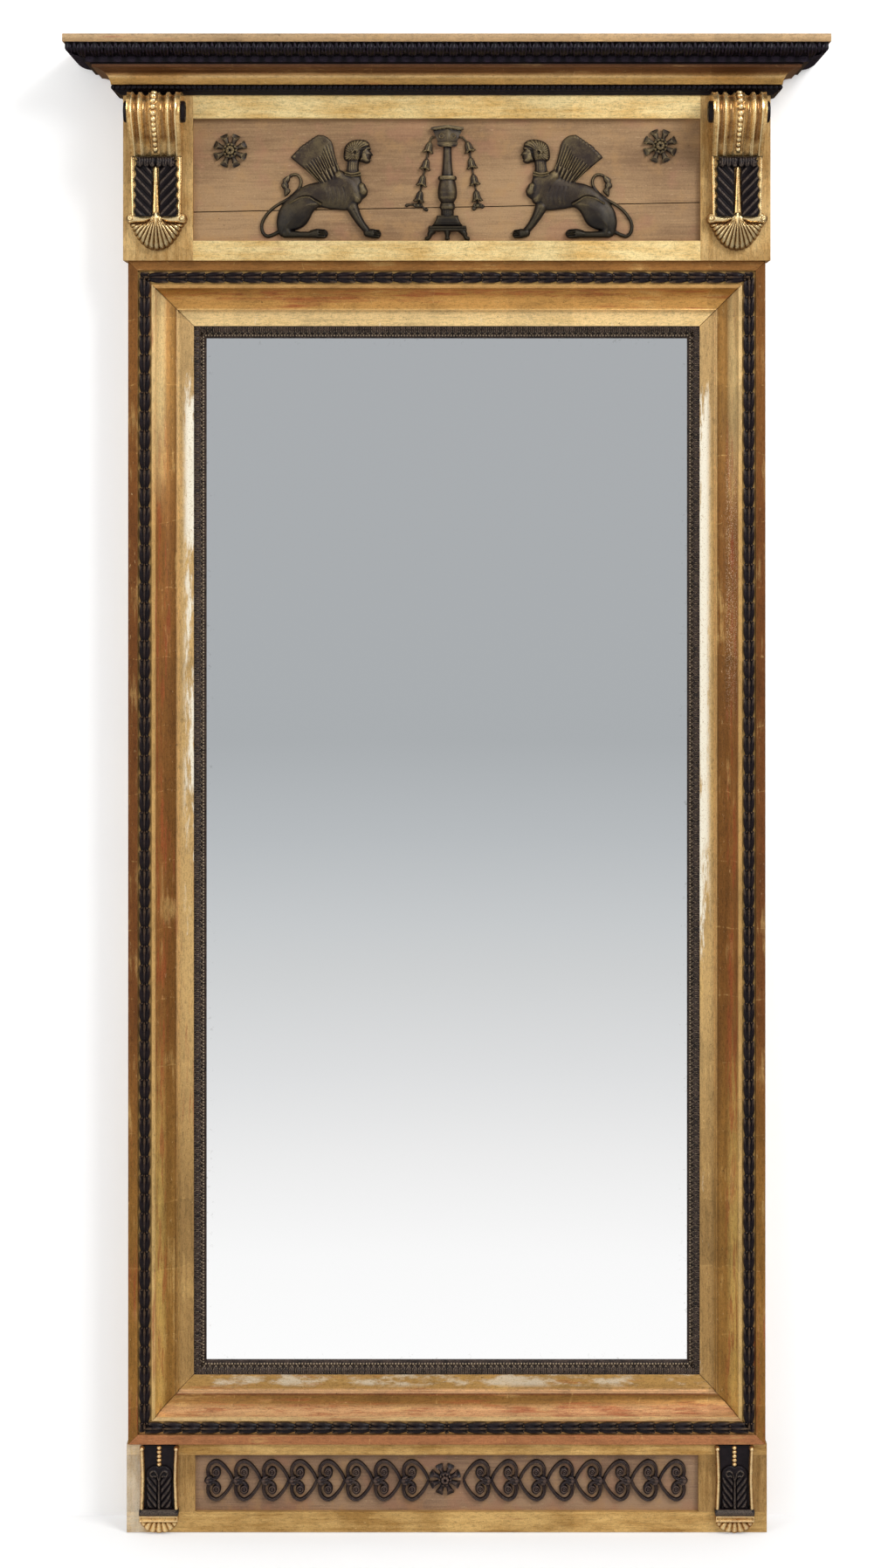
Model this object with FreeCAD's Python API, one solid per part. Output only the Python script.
"""Giltwood and ebonised pier mirror with a cornice, figured frieze, laurel frame and apron, in millimetres.

+X is to the viewer's right, +Z is up and the front faces -Y. The origin is the middle of the bottom
edge of the plane that lies against the wall, so every depth below is measured forward from the wall.
"""
import FreeCAD, Part
import math
import os

Vector = FreeCAD.Vector

# Stages from the bottom up
apron_height = 101.6
frame_height = 1356.0
frieze_height = 189.0

# Widths
frame_width = 730.0
frieze_overhang = 5.0
apron_overhang = 2.0

# Depths forward from the wall
carcass_depth = 24.0
frame_face = 58.0
frieze_face = 65.0
apron_face = 54.0

# Carcass
carcass_stile_width = 45.0
top_rail_height = 86.0
middle_rail_height = 68.0
hanger_recess = 12.4

# Backboards and the wooden buttons that hold them
backboard_seat = 14.0
backboard_thickness = 10.0
backboard_gap = 1.0
carcass_clearance = 0.3
button_rabbet_width = 20.0
button_rabbet_depth = 4.0
button_thickness = 2.7
button_gap = 0.3
button_width = 14.0
button_reach = 30.0
button_height_shares = (0.22, 0.78)
screw_radius = 2.0
screw_head_radius = 3.8
screw_head_height = 1.6
screw_length = 13.0
screw_sink = 0.3
screw_clearance = 0.3

# Hanging rings and their staples
ring_spacing = 440.0
ring_wire_radius = 2.5
ring_mean_radius = 17.0
ring_top_gap = 3.0
staple_wire_radius = 1.6
staple_clearance = 0.5
staple_wall_gap = 0.4
staple_end = 4.0

# Frame moulding, measured from its outer edge inward and from its face back
band_width = 11.0
channel_width = 15.5
channel_drop = 4.0
fillet_width = 4.5
fillet_drop = 1.0
cove_width = 24.5
cove_start_drop = 2.0
cove_end_drop = 15.0
cove_step_drop = 21.0
cove_step_width = 1.5
flat_width = 16.5
flat_end_drop = 23.0
cove_hollow_share = (0.30, 0.72)

# Laurel strips in the channel
laurel_radius = 6.5
laurel_pitch = 22.0
laurel_waist_share = 0.74
laurel_lip_share = 0.12

# Sight moulding around the plate
sight_width = 13.5
sight_ovolo_width = 8.5
sight_ovolo_drop = 6.0
sight_step_drop = 1.0
sight_bead_width = 3.0
sight_edge_drop = 9.7
sight_bulge_share = (0.68, 0.22)

# Mirror plate
plate_front = 23.0
plate_thickness = 4.0
plate_gap = 0.5
wedge_width = 10.0
wedge_length = 45.0
wedge_stile_shares = (-0.38, -0.19, 0.0, 0.19, 0.38)
wedge_rail_shares = (-0.3, 0.0, 0.3)

# Frieze
frieze_stile_width = 80.0
frieze_top_rail_height = 26.5
frieze_bottom_rail_height = 22.6
frieze_recess_drop = 7.0
frieze_board_thickness = 18.0
crack_rise_left = 33.4
crack_rise_right = 44.4
crack_width = 1.0

# Cornice, with reaches measured out from the face and the ends of the frieze
bead_ogee_height = 4.4
bead_ogee_start = 3.0
bead_ogee_reach = 8.0
bead_row_height = 6.1
bead_row_start = 9.5
bead_row_reach = 12.6
cornice_cove_start = 12.6
cornice_cove_height = 17.4
cornice_cove_reach = 31.4
cornice_cove_fillet = 3.2
cornice_cove_fillet_reach = 32.0
cornice_cove_hollow_share = (0.26, 0.66)
leaf_recess_height = 1.2
leaf_recess_reach = 33.5
leaf_fillet_height = 5.4
leaf_fillet_reach = 39.0
leaf_start_reach = 41.6
leaf_height = 14.3
leaf_reach = 58.7
leaf_edge_height = 6.0
leaf_bulge_share = (0.62, 0.30)
top_board_height = 9.1
top_board_reach = 61.6

# Upper consoles
console_inset = 39.0
console_top_width = 61.0
console_foot_width = 55.5
console_roll_radius = 22.6
console_roll_reach = 28.0
console_roll_end_angle = 50.0
console_neck_reach = 17.0
console_neck_drop = 71.6
console_waist_share = (0.42, 0.52)
console_ground_reach = 13.0
console_foot_drop = 139.0
bolster_radius = 12.4
bolster_overhang = 4.5
console_beads = 5
console_bead_radius = 3.7
console_bead_sink = 0.3

# Leaves on the upper consoles
console_leaf_width = 48.5
console_leaf_band_width = 42.0
console_leaf_band_height = 12.0
console_leaf_height = 68.5
console_leaf_slit = 6.0
console_leaf_thickness = 6.0
console_leaf_band_thickness = 8.5

# Shells under the upper consoles
shell_width = 69.0
shell_height = 46.0
shell_drop = 132.8
shell_reach = 17.0
shell_outline_shares = (
    (0.0, 1.0), (0.22, 0.80), (0.42, 0.90), (0.5, 0.80), (0.46, 0.66), (0.33, 0.30),
    (0.2, 0.08), (0.0, 0.0), (-0.2, 0.08), (-0.33, 0.30), (-0.46, 0.66), (-0.5, 0.80),
    (-0.42, 0.90), (-0.22, 0.80),
)

# Apron
apron_stile_width = 78.5
apron_top_rail_height = 13.0
apron_bottom_rail_height = 23.4
apron_recess_drop = 6.0
apron_panel_thickness = 12.0

# Base consoles on the apron
base_console_inset = 37.5
base_console_width = 45.0
base_console_top_gap = 1.0
base_console_ground = 3.0
base_strip_width = 5.4
base_strip_reach = 9.0
base_strip_sway = 1.6
base_ledge_height = 28.4
base_ledge_thickness = 6.0
base_ledge_reach = 11.0
base_bracket_height = 7.0
base_bracket_reach = 12.5
base_fan_foot_width = 20.0
base_fan_reach = 8.0
base_fan_bottom = 0.6
base_bead_radius = 2.3
base_beads = 5
base_bead_pitch = 4.7
base_leaf_width = 31.6
base_leaf_drop = 22.2
base_leaf_thickness = 5.0

# Hearts along the apron
heart_count = 8
heart_left_inset = 11.1
heart_right_inset = 12.7
heart_left_gap = 0.4
heart_right_gap = 2.8
heart_top_gap = 6.6
heart_bottom_gap = 11.0
heart_gap = 0.3
heart_band = 3.6
heart_thickness = 5.0
heart_eye_radius = 4.9
heart_eye_thickness = 6.0
heart_knot_radius = 4.2
heart_scroll_shares = (
    (0.985, 0.03), (0.86, 0.20), (0.62, 0.39), (0.40, 0.462), (0.20, 0.40), (0.10, 0.25), (0.15, 0.06),
)
heart_eye_share = (0.40, 0.21)
heart_knot_share = 0.11

# Rosettes
rosette_petals = 8
rosette_radius = 19.6
rosette_boss_radius = 8.5
rosette_boss_height = 8.5
rosette_petal_thickness = 5.0
rosette_petal_root = 3.0
rosette_petal_tip = 9.4
rosette_turn_share = 0.5
apron_rosette_radius = 18.2
apron_rosette_lift = 3.6
apron_rosette_left_offset = 2.0
frieze_rosette_left_inset = 42.1
frieze_rosette_left_drop = 36.4
frieze_rosette_right_inset = 45.8
frieze_rosette_right_drop = 31.1

# Sphinxes in the frieze, from their feet up and from their tails forward
sphinx_foot_rise = 25.4
sphinx_head_gap = 18.1
sphinx_tail_inset = 75.0
sphinx_paw_offset = 75.0
sphinx_wing_thickness = 5.0
sphinx_trunk_thickness = 8.0
sphinx_haunch_thickness = 10.0
sphinx_foot_thickness = 7.0
sphinx_foreleg_thickness = 7.5
sphinx_neck_thickness = 7.5
sphinx_head_thickness = 11.0
sphinx_tail_thickness = 3.6
sphinx_tail_width = 3.4
sphinx_tuft_thickness = 6.1
wing_shares = (
    (0.49, 0.995), (0.575, 0.955), (0.61, 0.83), (0.64, 0.71), (0.675, 0.62), (0.655, 0.54),
    (0.56, 0.49), (0.49, 0.555), (0.377, 0.67), (0.265, 0.78), (0.307, 0.85), (0.377, 0.92),
)
trunk_shares = (
    (0.70, 0.645), (0.755, 0.655), (0.82, 0.63), (0.846, 0.53), (0.886, 0.425), (0.807, 0.35),
    (0.734, 0.275), (0.587, 0.285), (0.475, 0.295), (0.35, 0.18), (0.195, 0.02), (0.145, 0.125),
    (0.167, 0.275), (0.258, 0.405), (0.384, 0.515), (0.538, 0.555),
)
haunch_shares = (
    (0.405, 0.40), (0.51, 0.335), (0.447, 0.26), (0.384, 0.135), (0.286, 0.08), (0.195, 0.09),
    (0.188, 0.21), (0.237, 0.33), (0.314, 0.38),
)
foot_shares = (
    (0.18, 0.09), (0.17, 0.04), (0.20, 0.005), (0.377, 0.0), (0.53, 0.005), (0.56, 0.04),
    (0.517, 0.088), (0.41, 0.084), (0.293, 0.092),
)
foreleg_shares = (
    (0.72, 0.315), (0.804, 0.33), (0.842, 0.215), (0.89, 0.11), (0.965, 0.078), (0.998, 0.04),
    (0.985, 0.005), (0.88, 0.01), (0.86, 0.06), (0.776, 0.175),
)
neck_shares = ((0.715, 0.78), (0.81, 0.78), (0.82, 0.695), (0.828, 0.61), (0.70, 0.605), (0.713, 0.695))
head_shares = (
    (0.70, 0.80), (0.706, 0.877), (0.748, 0.927), (0.825, 0.953), (0.905, 0.935), (0.93, 0.865),
    (0.925, 0.785), (0.895, 0.712), (0.85, 0.69), (0.814, 0.73), (0.762, 0.745), (0.72, 0.745),
)
tail_shares = (
    (0.16, 0.064), (0.107, 0.034), (0.062, 0.026), (0.028, 0.068), (0.024, 0.142), (0.055, 0.216),
    (0.104, 0.282), (0.167, 0.335), (0.24, 0.385), (0.30, 0.445), (0.338, 0.505), (0.343, 0.563),
    (0.317, 0.61), (0.275, 0.615), (0.24, 0.588),
)
tuft_shares = (
    (0.245, 0.60), (0.209, 0.555), (0.202, 0.505), (0.212, 0.464), (0.20, 0.43), (0.217, 0.405),
    (0.247, 0.464), (0.257, 0.53), (0.262, 0.58),
)

# Candlestand in the middle of the frieze, from the top down
stand_foot_rise = 23.9
stand_top_gap = 7.6
stand_offset = 0.7
stand_capital_half = 18.6
stand_capital_lip = 4.5
stand_capital_foot_half = 10.5
stand_capital_height = 24.0
stand_capital_thickness = 9.0
stand_shaft_radius = 4.6
stand_shaft_foot_radius = 6.8
stand_ring_radius = 10.4
stand_ring_height = 4.5
stand_vase_radius = 11.0
stand_vase_foot_radius = 6.5
stand_vase_neck_radius = 9.0
stand_vase_height = 27.0
stand_vase_belly_share = 0.68
stand_lower_ring_radius = 8.4
stand_lower_ring_height = 6.2
stand_neck_radius = 7.2
stand_neck_height = 7.4
stand_block_top_half = 11.7
stand_block_foot_half = 17.0
stand_block_height = 11.6
stand_slab_half = 22.2
stand_slab_height = 6.6
stand_base_thickness = 9.0
stand_foot_height = 9.7
stand_foot_width = 6.0
stand_foot_spread = 23.4

# Bell garlands beside the candlestand: places across and down from the top of its capital
bell_length = 13.0
bell_radius = 6.8
bell_neck_radius = 2.4
bell_waist_radius = 4.4
bell_waist_share = 0.3
garland_stem_width = 2.0
garland_stem_thickness = 2.6
garland_left_spots = (
    (-17.6, 14.3), (-20.4, 24.7), (-23.9, 44.1), (-28.0, 62.9), (-31.1, 80.9), (-33.1, 91.9),
)
garland_right_spots = (
    (19.0, 14.3), (25.0, 24.2), (28.1, 42.9), (31.2, 61.9), (34.2, 80.3), (35.3, 91.9),
)
knot_left_ends = ((-46.2, 90.9), (-23.0, 95.9))
knot_right_ends = ((30.4, 95.5), (41.4, 92.9))
knot_radius = 3.0
knot_thickness = 4.4
knot_end_radius = 2.2

# Extra length that cutting shapes run past what they cut
overrun = 5.0

# Sizes worked out from the ones above
frame_half = frame_width / 2
frame_top = apron_height + frame_height
frieze_top = frame_top + frieze_height
frieze_half = frame_half + frieze_overhang
apron_half = frame_half + apron_overhang
channel_end = band_width + channel_width
cove_start = channel_end + fillet_width
cove_end = cove_start + cove_width
flat_start = cove_end + cove_step_width
flat_end = flat_start + flat_width
section_width = flat_end + sight_width
flat_end_face = frame_face - flat_end_drop
carcass_inner = frame_half - carcass_stile_width
back_step = carcass_stile_width + carcass_clearance
backboard_bottom = apron_height + back_step
backboard_top = frame_top - back_step
backboard_back = backboard_seat - backboard_thickness
frieze_recess_half = frieze_half - frieze_stile_width
recess_face = frieze_face - frieze_recess_drop
recess_bottom = frame_top + frieze_bottom_rail_height
recess_top = frieze_top - frieze_top_rail_height
console_offset = frieze_half - console_inset
sphinx_tail_offset = frieze_recess_half - sphinx_tail_inset
sphinx_length = sphinx_tail_offset - sphinx_paw_offset
sphinx_height = recess_top - sphinx_head_gap - frame_top - sphinx_foot_rise
stand_top = recess_top - stand_top_gap
apron_recess_half = apron_half - apron_stile_width
apron_panel_face = apron_face - apron_recess_drop
apron_recess_top = apron_height - apron_top_rail_height
heart_height = apron_recess_top - apron_bottom_rail_height - heart_top_gap - heart_bottom_gap
heart_rise = apron_bottom_rail_height + heart_bottom_gap + heart_height / 2
apron_rosette_rise = (apron_bottom_rail_height + apron_recess_top) / 2 + apron_rosette_lift
base_console_offset = apron_half - base_console_inset
base_console_top = apron_height - base_console_top_gap
bead_top = frieze_top + bead_ogee_height + bead_row_height
cove_top = bead_top + cornice_cove_height + cornice_cove_fillet
leaf_bottom = cove_top + leaf_recess_height + leaf_fillet_height
leaf_top = leaf_bottom + leaf_height
cornice_top = leaf_top + top_board_height


# Basic shapes

def box(x0, x1, back, front, z0, z1):
    """A block between two depths forward of the wall."""
    return Part.makeBox(x1 - x0, front - back, z1 - z0, Vector(x0, -front, z0))


def outline(steps, place):
    """A closed face through points; a step written as a pair of points is an arc's middle and end."""
    edges = []
    start = steps[0]
    last = start
    for step in steps[1:] + [start]:
        if isinstance(step[0], tuple):
            middle, end = step
            edges.append(Part.Arc(place(last), place(middle), place(end)).toShape())
        else:
            end = step
            edges.append(Part.LineSegment(place(last), place(end)).toShape())
        last = end
    return Part.Face(Part.Wire(edges))


def slab(steps, back, front):
    """A flat shape in the plane of the wall, from one depth to another."""
    face = outline(steps, lambda point: Vector(point[0], -back, point[1]))
    return face.extrude(Vector(0, back - front, 0))


def smooth_slab(points, back, front):
    """A flat shape with one smooth closed outline."""
    curve = Part.BSplineCurve()
    curve.interpolate([Vector(x, -back, z) for x, z in points], PeriodicFlag=True)
    face = Part.Face(Part.Wire(curve.toShape()))
    return face.extrude(Vector(0, back - front, 0))


def ribbon(points, width, back, front):
    """A flat band of even width along a smooth line."""
    sides = ([], [])
    for index, (x, z) in enumerate(points):
        x0, z0 = points[max(index - 1, 0)]
        x1, z1 = points[min(index + 1, len(points) - 1)]
        length = math.hypot(x1 - x0, z1 - z0)
        step_x = -(z1 - z0) / length * width / 2
        step_z = (x1 - x0) / length * width / 2
        sides[0].append(Vector(x + step_x, -back, z + step_z))
        sides[1].append(Vector(x - step_x, -back, z - step_z))
    edges = []
    for side in (sides[0], sides[1][::-1]):
        curve = Part.BSplineCurve()
        curve.interpolate(side)
        edges.append(curve.toShape())
    edges.insert(1, Part.LineSegment(sides[0][-1], sides[1][-1]).toShape())
    edges.append(Part.LineSegment(sides[1][0], sides[0][0]).toShape())
    face = Part.Face(Part.Wire(edges))
    return face.extrude(Vector(0, back - front, 0))


def half_turned(steps, x, back):
    """Half of a turned shape standing on a flat ground; steps are radii and heights."""
    face = outline(steps, lambda point: Vector(x + point[0], -back, point[1]))
    return face.revolve(Vector(x, -back, 0), Vector(0, 0, 1), -180)


def rod(x, back, z, radius, front):
    """A round bar that points forward."""
    return Part.makeCylinder(radius, front - back, Vector(x, -back, z), Vector(0, -1, 0))


def cross_rod(x0, x1, depth, z, radius):
    """A round bar across the mirror."""
    return Part.makeCylinder(radius, x1 - x0, Vector(x0, -depth, z), Vector(1, 0, 0))


def joined(shapes):
    """Touching shapes of one piece as one solid."""
    whole = shapes[0].multiFuse(shapes[1:]).removeSplitter()
    return whole.Solids[0] if len(whole.Solids) == 1 else whole


def between(start, end, shares):
    """The point at a share of the way across and up a span."""
    return (start[0] + (end[0] - start[0]) * shares[0], start[1] + (end[1] - start[1]) * shares[1])


# Carcass

def carcass_stile(side):
    inner = side * carcass_inner
    outer = side * frame_half
    stile = box(min(inner, outer), max(inner, outer), 0, carcass_depth, 0, frieze_top)
    rabbet_edge = side * (carcass_inner + button_rabbet_width)
    cut_edge = side * (carcass_inner - overrun)
    stile = stile.cut(box(min(cut_edge, rabbet_edge), max(cut_edge, rabbet_edge),
                          -overrun, button_rabbet_depth, backboard_bottom, backboard_top))
    for z in button_heights():
        hole = rod(side * button_pivot(), button_rabbet_depth - overrun, z, screw_radius, screw_tip())
        stile = stile.cut(hole)
    return stile


def carcass_top_rail():
    rail = box(-carcass_inner, carcass_inner, hanger_recess, carcass_depth,
               frieze_top - top_rail_height, frieze_top)
    for x in ring_places():
        for leg in staple_legs(x):
            rail = rail.cut(leg)
    return rail


def carcass_middle_rail():
    bottom = frame_top - carcass_stile_width
    return box(-carcass_inner, carcass_inner, 0, carcass_depth, bottom, bottom + middle_rail_height)


def carcass_bottom_rail():
    return box(-carcass_inner, carcass_inner, 0, carcass_depth,
               0, apron_height + carcass_stile_width)


# Backboards and buttons

def backboard(upper):
    middle = (backboard_bottom + backboard_top) / 2
    z0 = middle + backboard_gap / 2 if upper else backboard_bottom
    z1 = backboard_top if upper else middle - backboard_gap / 2
    half = carcass_inner - carcass_clearance
    return box(-half, half, backboard_back, backboard_seat, z0, z1)


def button_pivot():
    return carcass_inner + button_rabbet_width / 2


def button_heights():
    span = backboard_top - backboard_bottom
    return [backboard_bottom + span * share for share in button_height_shares]


def button_back():
    return button_rabbet_depth - button_gap - button_thickness


def screw_head_back():
    return button_back() + screw_sink


def screw_tip():
    return screw_head_back() + screw_length


def turn_button(side, z):
    x = side * button_pivot()
    tip = x - side * (button_reach - button_width / 2)
    radius = button_width / 2
    steps = [(x, z + radius), ((x + side * radius, z), (x, z - radius)), (tip, z - radius),
             ((tip - side * radius, z), (tip, z + radius))]
    front = button_back() + button_thickness
    button = slab(steps, button_back(), front)
    hole = rod(x, button_back() - overrun, z, screw_radius + screw_clearance, front + overrun)
    sink = Part.makeCone(screw_head_radius + screw_clearance + screw_sink, screw_radius + screw_clearance,
                         screw_head_height + screw_sink + screw_clearance,
                         Vector(x, -button_back(), z), Vector(0, -1, 0))
    return button.cut(hole).cut(sink)


def button_screw(side, z):
    x = side * button_pivot()
    head = Part.makeCone(screw_head_radius, screw_radius, screw_head_height,
                         Vector(x, -screw_head_back(), z), Vector(0, -1, 0))
    shank = rod(x, screw_head_back() + screw_head_height, z, screw_radius, screw_tip())
    return joined([head, shank])


# Hanging rings

def ring_places():
    return [-ring_spacing / 2, ring_spacing / 2]


def staple_radius():
    return ring_wire_radius + staple_clearance + staple_wire_radius


def ring_pivot():
    depth = staple_wall_gap + staple_radius() + staple_wire_radius
    height = frieze_top - ring_top_gap - 2 * ring_mean_radius - ring_wire_radius
    return depth, height


def staple_legs(x):
    depth, z = ring_pivot()
    tip = carcass_depth + staple_end
    reach = staple_radius()
    return [rod(x, depth, z + offset, staple_wire_radius, tip) for offset in (-reach, reach)]


def hanger_staple(x):
    depth, z = ring_pivot()
    circle = Part.makeCircle(staple_wire_radius, Vector(x, -depth, z + staple_radius()), Vector(0, 1, 0))
    section = Part.Face(Part.Wire(circle))
    crown = section.revolve(Vector(x, -depth, z), Vector(1, 0, 0), -180)
    return joined([crown] + staple_legs(x))


def hanger_ring(x):
    depth, z = ring_pivot()
    return Part.makeTorus(ring_mean_radius, ring_wire_radius, Vector(x, -depth, z - ring_mean_radius),
                          Vector(0, 1, 0))


# Mitred mouldings around the plate

def lengthwise(length, point):
    """A point of a moulding's section at its left end: distance in from the outer edge, depth."""
    return Vector(-length / 2, -point[1], point[0])


def mitred(steps, length, inner):
    """A moulding with 45 degree ends, lying along X with its outer edge at Z = 0."""
    face = outline(steps, lambda point: lengthwise(length, point))
    bar = face.extrude(Vector(length, 0, 0))
    return bar.common(mitre_block(length, inner))


def mitre_block(length, inner):
    reach = inner + overrun
    ends = [(-length / 2, 0), (length / 2, 0), (length / 2 - reach, reach), (reach - length / 2, reach)]
    return slab(ends, -overrun, frame_face + laurel_radius)


def put_side(shape, side):
    """Turn and move a moulding from its own place to one side of the frame."""
    middle = apron_height + frame_height / 2
    turns = {"bottom": 0, "left": 90, "top": 180, "right": -90}
    moves = {"bottom": (0, apron_height), "left": (-frame_half, middle),
             "top": (0, frame_top), "right": (frame_half, middle)}
    placed = shape.copy()
    placed.rotate(Vector(0, 0, 0), Vector(0, 1, 0), turns[side])
    x, z = moves[side]
    placed.translate(Vector(x, 0, z))
    return placed


def side_length(side):
    return frame_width if side in ("top", "bottom") else frame_height


def frame_member(side):
    cove_from = (cove_start, frame_face - cove_start_drop)
    cove_to = (cove_end, frame_face - cove_end_drop)
    hollow = between(cove_from, cove_to, cove_hollow_share)
    steps = [
        (0, carcass_depth), (0, frame_face), (band_width, frame_face),
        (band_width, frame_face - channel_drop), (channel_end, frame_face - channel_drop),
        (channel_end, frame_face - fillet_drop), (cove_start, frame_face - fillet_drop),
        cove_from, (hollow, cove_to),
        (cove_end, frame_face - cove_step_drop), (flat_start, frame_face - cove_step_drop),
        (flat_end, flat_end_face), (flat_end, backboard_seat), (back_step, backboard_seat),
        (back_step, carcass_depth),
    ]
    return put_side(mitred(steps, side_length(side), flat_end), side)


def laurel_steps(start, count, pitch, rising):
    """Bundles of leaves that swell from a waist to their tips, as points along and out."""
    waist = laurel_radius * laurel_waist_share
    lip = pitch * laurel_lip_share
    points = []
    for index in range(count):
        a = start + index * pitch
        b = a + pitch
        if rising:
            points += [(a, waist), (b - lip, laurel_radius)]
        else:
            points += [(a + lip, laurel_radius), (b, waist)]
    return points


def laurel_strip(side):
    length = side_length(side)
    centre = band_width + channel_width / 2
    floor = frame_face - channel_drop
    half_count = round(length / 2 / laurel_pitch)
    pitch = length / 2 / half_count
    first = {"left": False, "right": True, "top": True, "bottom": False}[side]
    second = {"left": False, "right": True, "top": False, "bottom": True}[side]
    tops = laurel_steps(-length / 2, half_count, pitch, first)
    if second and not first:
        tops.pop()
    tops += laurel_steps(0, half_count, pitch, second)
    waist = laurel_radius * laurel_waist_share
    inside = length / 2 - pitch * laurel_lip_share / 2
    steps = [(-length / 2, 0), (-length / 2, waist)]
    steps += [point for point in tops if abs(point[0]) < inside]
    steps += [(length / 2, waist), (length / 2, 0)]
    face = outline(steps, lambda point: Vector(point[0], -floor, centre + point[1]))
    strip = face.revolve(Vector(0, -floor, centre), Vector(1, 0, 0), 180)
    return put_side(strip.common(mitre_block(length, channel_end)), side)


def sight_moulding(side):
    ovolo_from = (flat_end, flat_end_face)
    ovolo_to = (flat_end + sight_ovolo_width, flat_end_face - sight_ovolo_drop)
    bulge = between(ovolo_from, ovolo_to, sight_bulge_share)
    bead_face = flat_end_face - sight_ovolo_drop - sight_step_drop
    bead_end = flat_end + sight_ovolo_width + sight_bead_width
    steps = [
        (flat_end, plate_front), ovolo_from, (bulge, ovolo_to), (ovolo_to[0], bead_face),
        (bead_end, bead_face - sight_step_drop), (section_width, flat_end_face - sight_edge_drop),
        (section_width, plate_front),
    ]
    return put_side(mitred(steps, side_length(side), section_width), side)


# Mirror plate

def mirror_plate():
    half = frame_half - flat_end - plate_gap
    bottom = apron_height + flat_end + plate_gap
    top = frame_top - flat_end - plate_gap
    return box(-half, half, plate_front - plate_thickness, plate_front, bottom, top)


def plate_wedges():
    wedges = []
    behind = plate_front - plate_thickness
    for side in ("left", "right", "top", "bottom"):
        shares = wedge_rail_shares if side in ("top", "bottom") else wedge_stile_shares
        for share in shares:
            start = side_length(side) * share - wedge_length / 2
            steps = [(flat_end, backboard_seat), (flat_end, behind), (flat_end + wedge_width, behind)]
            face = outline(steps, lambda point: Vector(start, -point[1], point[0]))
            wedges.append(put_side(face.extrude(Vector(wedge_length, 0, 0)), side))
    return Part.Compound(wedges)


# Frieze

def frieze_stile(side):
    inner = side * frieze_recess_half
    outer = side * frieze_half
    return box(min(inner, outer), max(inner, outer), carcass_depth, frieze_face, frame_top, frieze_top)


def frieze_rail(z0, z1):
    return box(-frieze_recess_half, frieze_recess_half, carcass_depth, frieze_face, z0, z1)


def frieze_board(upper):
    """One of two boards with an open shrinkage crack between them."""
    left = (-frieze_recess_half, recess_bottom + crack_rise_left)
    right = (frieze_recess_half, recess_bottom + crack_rise_right)
    shift = crack_width / 2 if upper else -crack_width / 2
    edge = recess_top if upper else recess_bottom
    steps = [(left[0], left[1] + shift), (right[0], right[1] + shift), (right[0], edge), (left[0], edge)]
    return slab(steps, recess_face - frieze_board_thickness, recess_face)


# Cornice

def cornice_run(steps, reach):
    """A moulding along the front and back along both ends, mitred at the corners."""
    outer_x = frieze_half + reach + overrun
    outer_y = frieze_face + reach + overrun
    inner_x = outer_x - outer_y

    front_face = outline(steps, lambda point: Vector(-outer_x, -frieze_face - point[0], point[1]))
    front = front_face.extrude(Vector(2 * outer_x, 0, 0))
    z0 = min(point[1] for point in steps if not isinstance(point[0], tuple)) - overrun
    height = cornice_top - z0

    def plan(points):
        wire = Part.makePolygon([Vector(x, -y, z0) for x, y in points + points[:1]])
        return Part.Face(wire).extrude(Vector(0, 0, height))

    front = front.common(plan([(-outer_x, outer_y), (outer_x, outer_y), (inner_x, 0), (-inner_x, 0)]))
    runs = [front]
    for side in (-1, 1):
        end_face = outline(steps, lambda point: Vector(side * (frieze_half + point[0]), 0, point[1]))
        end = end_face.extrude(Vector(0, -outer_y, 0))
        corner = plan([(side * outer_x, outer_y), (side * outer_x, 0), (side * inner_x, 0)])
        runs.append(end.common(corner))
    return Part.Compound(runs)


def cornice_bead_moulding():
    ogee_top = frieze_top + bead_ogee_height
    ogee_from = (bead_ogee_start, frieze_top)
    ogee_to = (bead_ogee_reach, ogee_top)
    row_middle = (bead_row_reach, ogee_top + bead_row_height / 2)
    steps = [
        (0, frieze_top), ogee_from, ogee_to, (bead_row_start, ogee_top),
        (row_middle, (bead_row_start, bead_top)), (0, bead_top),
    ]
    return cornice_run(steps, bead_row_reach)


def cornice_cove():
    cove_from = (cornice_cove_start, bead_top)
    cove_to = (cornice_cove_reach, bead_top + cornice_cove_height)
    hollow = between(cove_from, cove_to, cornice_cove_hollow_share)
    steps = [
        (0, bead_top), cove_from, (hollow, cove_to), (cornice_cove_fillet_reach, cove_to[1]),
        (cornice_cove_fillet_reach, cove_top), (0, cove_top),
    ]
    return cornice_run(steps, cornice_cove_fillet_reach)


def cornice_leaf_moulding():
    recess_line = cove_top + leaf_recess_height
    leaf_from = (leaf_start_reach, leaf_bottom)
    leaf_to = (leaf_reach, leaf_top - leaf_edge_height)
    bulge = between(leaf_from, leaf_to, leaf_bulge_share)
    steps = [
        (0, cove_top), (leaf_recess_reach, cove_top), (leaf_recess_reach, recess_line),
        (leaf_fillet_reach, recess_line), (leaf_fillet_reach, leaf_bottom), leaf_from,
        (bulge, leaf_to), (leaf_reach, leaf_top), (0, leaf_top),
    ]
    return cornice_run(steps, leaf_reach)


def cornice_core():
    return box(-frieze_half, frieze_half, 0, frieze_face, frieze_top, leaf_top)


def cornice_top_board():
    half = frieze_half + top_board_reach
    return box(-half, half, 0, frieze_face + top_board_reach, leaf_top, cornice_top)


# Upper consoles

def console_front(width_top, width_foot, x):
    """The console's tapering front outline as a cutting block."""
    foot = frieze_top - console_foot_drop
    steps = [(x - width_top / 2, frieze_top), (x + width_top / 2, frieze_top),
             (x + width_foot / 2, foot), (x - width_foot / 2, foot)]
    return slab(steps, frieze_face, frieze_face + console_roll_reach + console_roll_radius + overrun)


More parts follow.
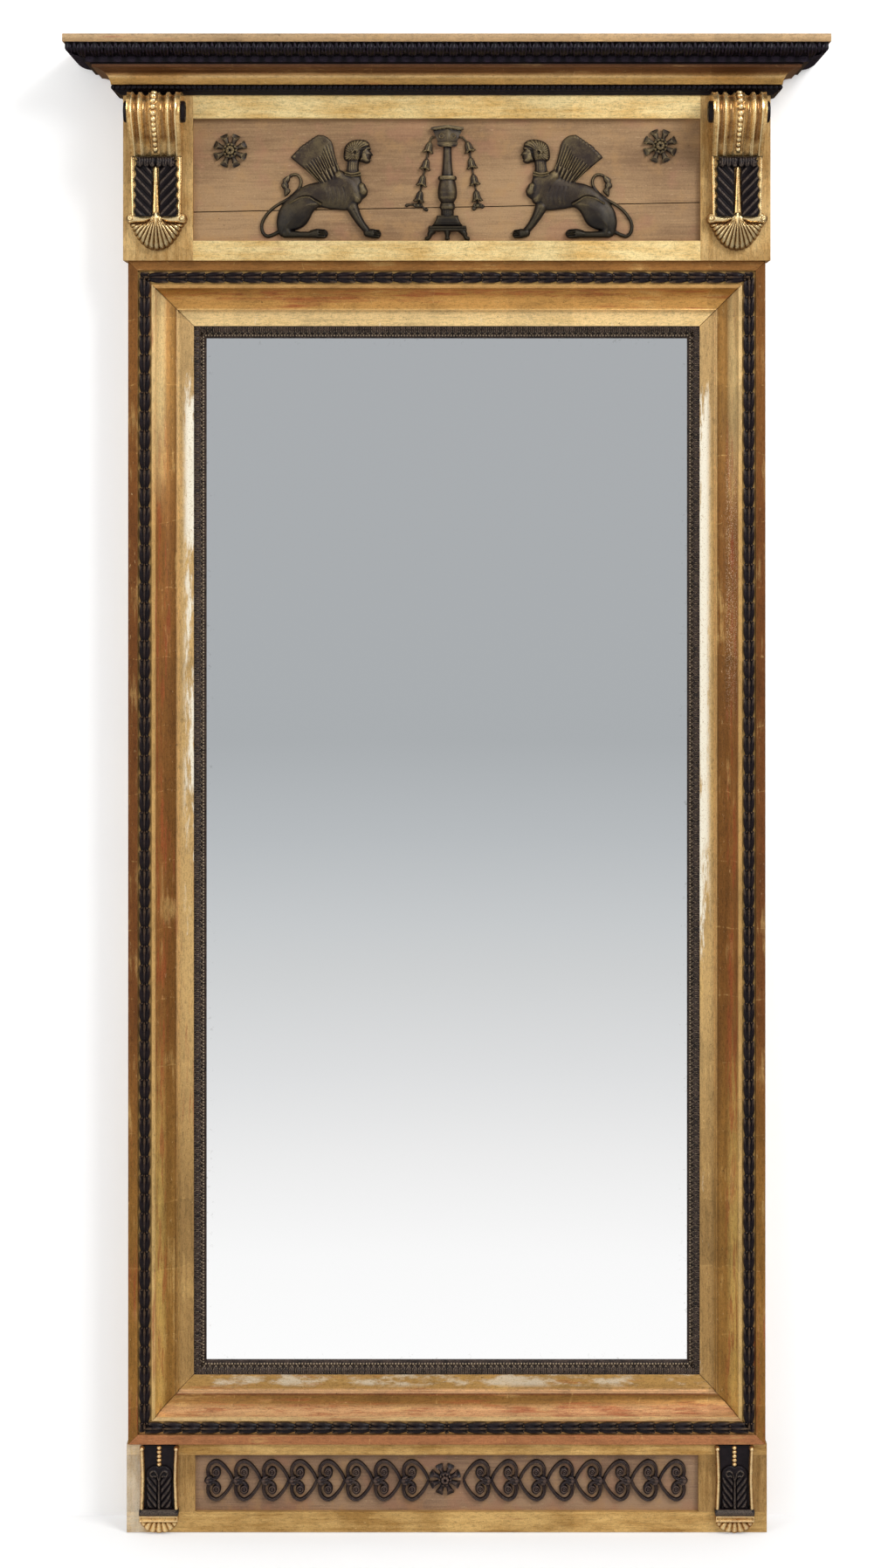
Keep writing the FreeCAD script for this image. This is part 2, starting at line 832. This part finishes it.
def console_scroll(x):
    """The rolled ribbon and the ground below it, seen from the side and run across."""
    roll_z = frieze_top - console_roll_radius
    angle = math.radians(console_roll_end_angle)
    roll_front = (console_roll_reach + console_roll_radius, roll_z)
    roll_end = (console_roll_reach + console_roll_radius * math.cos(angle),
                roll_z - console_roll_radius * math.sin(angle))
    neck = (console_neck_reach, frieze_top - console_neck_drop)
    waist = between(roll_end, neck, (console_waist_share[1], console_waist_share[0]))
    foot = frieze_top - console_foot_drop
    steps = [(0, frieze_top), (console_roll_reach, frieze_top), (roll_front, roll_end),
             (waist, neck), (console_ground_reach, neck[1]), (console_ground_reach, foot), (0, foot)]
    half = console_top_width / 2
    face = outline(steps, lambda point: Vector(x - half, -frieze_face - point[0], point[1]))
    return face.extrude(Vector(console_top_width, 0, 0)).common(
        console_front(console_top_width, console_foot_width, x))


def console_shell(x):
    top = frieze_top - shell_drop
    points = [(x + shell_width * a, top + shell_height * (b - 1)) for a, b in shell_outline_shares]
    return smooth_slab(points, frieze_face, frieze_face + shell_reach)


def console_bead_string(x):
    """A string of carved beads down the middle of the roll."""
    roll_z = frieze_top - console_roll_radius
    beads = []
    for index in range(console_beads):
        angle = math.radians(console_roll_end_angle) * (1 - 2 * index / (console_beads - 1))
        outward = Vector(0, -math.cos(angle), math.sin(angle))
        roll_axis = Vector(x, -frieze_face - console_roll_reach, roll_z)
        centre = roll_axis + outward * (console_roll_radius - console_bead_sink)
        beads.append(Part.makeSphere(console_bead_radius, centre, Vector(1, 0, 0)))
    return beads


def console_stem(x):
    """The narrow stem between the two lobes of the leaf."""
    foot = frieze_top - shell_drop
    steps = [(x - console_leaf_slit / 2, foot), (x + console_leaf_slit / 2, foot),
             (x, frieze_top - console_neck_drop - console_leaf_band_height)]
    return slab(steps, frieze_face, frieze_face + console_ground_reach + console_leaf_thickness / 2)


def console(side):
    x = side * console_offset
    body = joined([console_scroll(x), console_shell(x), console_stem(x)] + console_bead_string(x))
    return body.cut(bolster(side))


def bolster(side):
    x = side * console_offset
    half = console_top_width / 2 + bolster_overhang
    return cross_rod(x - half, x + half, frieze_face + console_roll_reach,
                     frieze_top - console_roll_radius, bolster_radius)


def console_leaf(side):
    """Two long lobes under a curled band."""
    x = side * console_offset
    ground = frieze_face + console_ground_reach
    top = frieze_top - console_neck_drop
    foot = top - console_leaf_height
    pieces = [slab([(x - console_leaf_band_width / 2, top), (x + console_leaf_band_width / 2, top),
                    (x + console_leaf_band_width / 2, top - console_leaf_band_height),
                    (x - console_leaf_band_width / 2, top - console_leaf_band_height)],
                   ground, ground + console_leaf_band_thickness)]
    band_foot = top - console_leaf_band_height / 2
    for lobe in (-1, 1):
        inner = x + lobe * console_leaf_slit / 2
        outer = x + lobe * console_leaf_width / 2
        band_outer = x + lobe * console_leaf_band_width / 2
        shoulder = top - console_leaf_band_height * 2
        steps = [(inner, band_foot), (band_outer, band_foot), (outer, shoulder), (outer, foot), (inner, foot)]
        pieces.append(slab(steps, ground, ground + console_leaf_thickness))
    leaf = joined(pieces)
    return leaf.cut(console_shell(x)).cut(console_stem(x))


# Apron

def apron_rails():
    top = box(-apron_half, apron_half, carcass_depth, apron_face, apron_recess_top, apron_height)
    bottom = box(-apron_half, apron_half, carcass_depth, apron_face, 0, apron_bottom_rail_height)
    return Part.Compound([top, bottom])


def apron_stiles():
    z0 = apron_bottom_rail_height
    left = box(-apron_half, -apron_recess_half, carcass_depth, apron_face, z0, apron_recess_top)
    right = box(apron_recess_half, apron_half, carcass_depth, apron_face, z0, apron_recess_top)
    return Part.Compound([left, right])


def apron_panel():
    return box(-apron_recess_half, apron_recess_half, apron_panel_face - apron_panel_thickness,
               apron_panel_face, apron_bottom_rail_height, apron_recess_top)


def base_console(side):
    """A flat console with two swaying strips, a ledge, a bracket and a fan below."""
    x = side * base_console_offset
    half = base_console_width / 2
    top = base_console_top
    ledge_foot = base_ledge_height - base_ledge_thickness
    bracket_foot = ledge_foot - base_bracket_height
    inner = half - base_strip_width
    pieces = [box(x - inner, x + inner, apron_face, apron_face + base_console_ground, ledge_foot, top)]
    for edge in (-1, 1):
        line = x + edge * (half - base_strip_width / 2)
        height = top - ledge_foot
        points = [(line - edge * base_strip_sway * math.sin(share * math.pi) / 2, top - height * share)
                  for share in (0, 1 / 4, 1 / 2, 3 / 4, 1)]
        pieces.append(ribbon(points, base_strip_width, apron_face, apron_face + base_strip_reach))
    pieces.append(box(x - half, x + half, apron_face, apron_face + base_ledge_reach,
                      ledge_foot, base_ledge_height))
    pieces.append(box(x - half, x + half, apron_face, apron_face + base_bracket_reach,
                      bracket_foot, ledge_foot))
    pieces.append(slab([(x - half, bracket_foot), (x + half, bracket_foot),
                        (x + base_fan_foot_width / 2, base_fan_bottom),
                        (x - base_fan_foot_width / 2, base_fan_bottom)],
                       apron_face, apron_face + base_fan_reach))
    for index in range(base_beads):
        centre = Vector(x, -apron_face - base_console_ground, top - base_bead_pitch * (index + 1 / 2))
        pieces.append(Part.makeSphere(base_bead_radius, centre))
    return joined(pieces)


def base_console_leaf(side):
    x = side * base_console_offset
    half = base_leaf_width / 2
    ground = apron_face + base_console_ground
    foot = base_ledge_height
    top = base_console_top - base_leaf_drop
    shoulder = top - base_leaf_width / 4
    steps = [(x - half, foot), (x - half, shoulder), ((x - half / 2, top), (x, shoulder)),
             ((x + half / 2, top), (x + half, shoulder)), (x + half, foot)]
    return slab(steps, ground, ground + base_leaf_thickness)


# Hearts and rosettes

def heart(knot_x, toward, pitch):
    """Two scrolls that start at a knot, turn outward and meet at a point."""
    length = pitch - heart_gap
    front = apron_panel_face + heart_thickness
    shapes = []
    for up in (-1, 1):
        points = [(knot_x + toward * length * a, heart_rise + up * heart_height * b)
                  for a, b in heart_scroll_shares]
        shapes.append(ribbon(points, heart_band, apron_panel_face, front))
        eye_x = knot_x + toward * length * heart_eye_share[0]
        eye_z = heart_rise + up * heart_height * heart_eye_share[1]
        shapes.append(rod(eye_x, apron_panel_face, eye_z, heart_eye_radius,
                          apron_panel_face + heart_eye_thickness))
        inner = [(knot_x + toward * length * heart_knot_share, heart_rise),
                 ((knot_x + eye_x) / 2, heart_rise + up * heart_band / 2), (eye_x, eye_z)]
        shapes.append(ribbon(inner, heart_band, apron_panel_face, front))
    knot = knot_x + toward * (heart_knot_radius + heart_gap)
    shapes.append(rod(knot, apron_panel_face, heart_rise, heart_knot_radius,
                      apron_panel_face + heart_eye_thickness))
    return joined(shapes)


def heart_scrolls():
    """Two runs from the ends of the recess to the rosette."""
    rosette_x = -apron_rosette_left_offset
    left = heart_left_inset - apron_recess_half
    left_end = rosette_x - apron_rosette_radius - heart_left_gap
    right = apron_recess_half - heart_right_inset
    right_end = rosette_x + apron_rosette_radius + heart_right_gap
    hearts = []
    for start, end, toward in ((left, left_end, 1), (right, right_end, -1)):
        pitch = abs(end - start) / heart_count
        hearts += [heart(start + toward * pitch * index, toward, pitch) for index in range(heart_count)]
    return Part.Compound(hearts)


def rosette(x, z, ground, radius):
    """Flared petals around a domed boss."""
    share = radius / rosette_radius
    boss_radius = rosette_boss_radius * share
    height = rosette_boss_height
    dome = [(0, z - boss_radius), ((boss_radius, z), (0, z + boss_radius))]
    boss = half_turned(dome, x, ground).common(
        box(x - boss_radius, x + boss_radius, ground, ground + height, z - boss_radius, z + boss_radius))
    shapes = [boss]
    for index in range(rosette_petals):
        angle = 2 * math.pi * (index + rosette_turn_share) / rosette_petals
        along = (math.cos(angle), math.sin(angle))
        across = (-along[1], along[0])

        def spot(reach, offset):
            return (x + along[0] * reach + across[0] * offset, z + along[1] * reach + across[1] * offset)

        root = rosette_petal_root * share / 2
        tip = rosette_petal_tip * share / 2
        flare = math.sqrt(radius ** 2 - tip ** 2)
        steps = [spot(boss_radius / 2, -root), spot(flare, -tip), (spot(radius, 0), spot(flare, tip)),
                 spot(boss_radius / 2, root)]
        shapes.append(slab(steps, ground, ground + rosette_petal_thickness))
    return joined(shapes)


def frieze_rosettes():
    left = rosette(frieze_rosette_left_inset - frieze_recess_half, recess_top - frieze_rosette_left_drop,
                   recess_face, rosette_radius)
    right = rosette(frieze_recess_half - frieze_rosette_right_inset, recess_top - frieze_rosette_right_drop,
                    recess_face, rosette_radius)
    return Part.Compound([left, right])


# Sphinxes

def sphinx(side):
    """A seated winged figure in low relief that faces the middle of the frieze."""
    def spots(shares):
        return [(side * (sphinx_tail_offset - sphinx_length * a),
                 frame_top + sphinx_foot_rise + sphinx_height * b) for a, b in shares]

    layers = (
        (wing_shares, sphinx_wing_thickness), (trunk_shares, sphinx_trunk_thickness),
        (haunch_shares, sphinx_haunch_thickness), (foot_shares, sphinx_foot_thickness),
        (foreleg_shares, sphinx_foreleg_thickness), (neck_shares, sphinx_neck_thickness),
        (head_shares, sphinx_head_thickness), (tuft_shares, sphinx_tuft_thickness),
    )
    shapes = [smooth_slab(spots(shares), recess_face, recess_face + height) for shares, height in layers]
    shapes.append(ribbon(spots(tail_shares), sphinx_tail_width, recess_face,
                         recess_face + sphinx_tail_thickness))
    return joined(shapes)


# Candlestand and garlands

def candlestand():
    """A turned stand on three feet, in half relief."""
    foot = frame_top + stand_foot_rise
    slab_foot = foot + stand_foot_height
    block_foot = slab_foot + stand_slab_height
    neck_foot = block_foot + stand_block_height
    ring_foot = neck_foot + stand_neck_height
    vase_foot = ring_foot + stand_lower_ring_height
    vase_top = vase_foot + stand_vase_height
    shaft_foot = vase_top + stand_ring_height
    top = stand_top
    shaft_top = top - stand_capital_height
    belly = (stand_vase_radius, vase_top - stand_vase_height * stand_vase_belly_share)
    turned = [
        (0, neck_foot), (stand_neck_radius, neck_foot), (stand_neck_radius, ring_foot),
        (stand_lower_ring_radius, ring_foot), (stand_lower_ring_radius, vase_foot),
        (stand_vase_foot_radius, vase_foot), (belly, (stand_vase_neck_radius, vase_top)),
        (stand_ring_radius, vase_top), (stand_ring_radius, shaft_foot),
        (stand_shaft_foot_radius, shaft_foot), (stand_shaft_radius, shaft_top), (0, shaft_top),
    ]
    shapes = [half_turned(turned, stand_offset, recess_face)]
    x = stand_offset
    lip = top - stand_capital_lip
    shapes.append(slab([(x - stand_capital_half, top - stand_capital_lip / 2), (x, top),
                        (x + stand_capital_half, top - stand_capital_lip / 2),
                        (x + stand_capital_half, lip), (x + stand_capital_foot_half, shaft_top),
                        (x - stand_capital_foot_half, shaft_top), (x - stand_capital_half, lip)],
                       recess_face, recess_face + stand_capital_thickness))
    shapes.append(slab([(x - stand_block_top_half, neck_foot), (x + stand_block_top_half, neck_foot),
                        (x + stand_block_foot_half, block_foot), (x - stand_block_foot_half, block_foot)],
                       recess_face, recess_face + stand_base_thickness))
    shapes.append(box(x - stand_slab_half, x + stand_slab_half, recess_face,
                      recess_face + stand_base_thickness, slab_foot, block_foot))
    for place in (-1, 0, 1):
        middle = x + place * (stand_foot_spread - stand_foot_width / 2)
        shapes.append(box(middle - stand_foot_width / 2, middle + stand_foot_width / 2, recess_face,
                          recess_face + stand_base_thickness, foot, slab_foot))
    return joined(shapes)


def bell(top, bottom):
    """A flower bell on the line between two places of a garland."""
    lean = math.degrees(math.atan2(bottom[0] - top[0], top[1] - bottom[1]))
    waist_z = -bell_length * bell_waist_share
    steps = [(0, bell_length / 2), (bell_neck_radius, bell_length / 2), (bell_waist_radius, waist_z),
             (bell_radius, -bell_length / 2), (0, -bell_length / 2)]
    shape = half_turned(steps, 0, recess_face)
    shape.rotate(Vector(0, 0, 0), Vector(0, 1, 0), -lean)
    return shape


def garland(spots, ends):
    """Bells on a stem, ending in a knotted ribbon."""
    places = [(x, stand_top - drop) for x, drop in spots]
    shapes = [ribbon(places, garland_stem_width, recess_face, recess_face + garland_stem_thickness)]
    for index in range(1, len(places) - 1):
        shape = bell(places[index - 1], places[index + 1])
        shape.translate(Vector(places[index][0], 0, places[index][1]))
        shapes.append(shape)
    knot = places[-1]
    shapes.append(rod(knot[0], recess_face, knot[1], knot_radius, recess_face + knot_thickness))
    for x, drop in ends:
        end = (x, stand_top - drop)
        shapes.append(ribbon([knot, between(knot, end, (1 / 2, 1 / 2)), end], garland_stem_width,
                             recess_face, recess_face + garland_stem_thickness))
        shapes.append(rod(end[0], recess_face, end[1], knot_end_radius,
                          recess_face + garland_stem_thickness))
    return joined(shapes)


# The whole mirror

def carcass_nodes():
    nodes = {
        "carcass_stile_left": carcass_stile(-1),
        "carcass_stile_right": carcass_stile(1),
        "carcass_top_rail": carcass_top_rail(),
        "carcass_middle_rail": carcass_middle_rail(),
        "carcass_bottom_rail": carcass_bottom_rail(),
        "backboard_upper": backboard(True),
        "backboard_lower": backboard(False),
    }
    lower, upper = button_heights()
    for name, side in (("left", -1), ("right", 1)):
        nodes[f"turn_button_lower_{name}"] = turn_button(side, lower)
        nodes[f"turn_button_upper_{name}"] = turn_button(side, upper)
    nodes["button_screws"] = Part.Compound(
        [button_screw(side, z) for side in (-1, 1) for z in button_heights()])
    left, right = ring_places()
    nodes["hanger_ring_left"] = hanger_ring(left)
    nodes["hanger_ring_right"] = hanger_ring(right)
    nodes["hanger_staples"] = Part.Compound([hanger_staple(x) for x in ring_places()])
    return nodes


def frame_nodes():
    nodes = {}
    for side in ("left", "right", "top", "bottom"):
        kind = "stile" if side in ("left", "right") else "rail"
        nodes[f"frame_{side}_{kind}"] = frame_member(side)
        nodes[f"laurel_{side}"] = laurel_strip(side)
        nodes[f"sight_moulding_{side}"] = sight_moulding(side)
    nodes["mirror_plate"] = mirror_plate()
    nodes["plate_wedges"] = plate_wedges()
    return nodes


def frieze_nodes():
    return {
        "frieze_stile_left": frieze_stile(-1),
        "frieze_stile_right": frieze_stile(1),
        "frieze_top_rail": frieze_rail(recess_top, frieze_top),
        "frieze_bottom_rail": frieze_rail(frame_top, recess_bottom),
        "frieze_board_upper": frieze_board(True),
        "frieze_board_lower": frieze_board(False),
        "frieze_rosettes": frieze_rosettes(),
        "sphinx_left": sphinx(-1),
        "sphinx_right": sphinx(1),
        "candlestand": candlestand(),
        "garland_left": garland(garland_left_spots, knot_left_ends),
        "garland_right": garland(garland_right_spots, knot_right_ends),
        "console_left": console(-1),
        "console_right": console(1),
        "console_bolsters": Part.Compound([bolster(-1), bolster(1)]),
        "console_leaves": Part.Compound([console_leaf(-1), console_leaf(1)]),
    }


def cornice_nodes():
    return {
        "cornice_core": cornice_core(),
        "cornice_bead_moulding": cornice_bead_moulding(),
        "cornice_cove": cornice_cove(),
        "cornice_leaf_moulding": cornice_leaf_moulding(),
        "cornice_top_board": cornice_top_board(),
    }


def apron_nodes():
    return {
        "apron_rails": apron_rails(),
        "apron_stiles": apron_stiles(),
        "apron_panel": apron_panel(),
        "base_console_left": base_console(-1),
        "base_console_right": base_console(1),
        "base_console_leaves": Part.Compound([base_console_leaf(-1), base_console_leaf(1)]),
        "heart_scrolls": heart_scrolls(),
        "apron_rosette": rosette(-apron_rosette_left_offset, apron_rosette_rise, apron_panel_face,
                                 apron_rosette_radius),
    }


def main():
    os.makedirs("parts", exist_ok=True)
    nodes = {}
    for group in (carcass_nodes(), frame_nodes(), frieze_nodes(), cornice_nodes(), apron_nodes()):
        nodes.update(group)
    for name, shape in nodes.items():
        shape.exportStep(f"parts/{name}.step")
        print(name, len(shape.Solids), shape.isValid(), round(shape.Volume))
    print("nodes", len(nodes))


main()
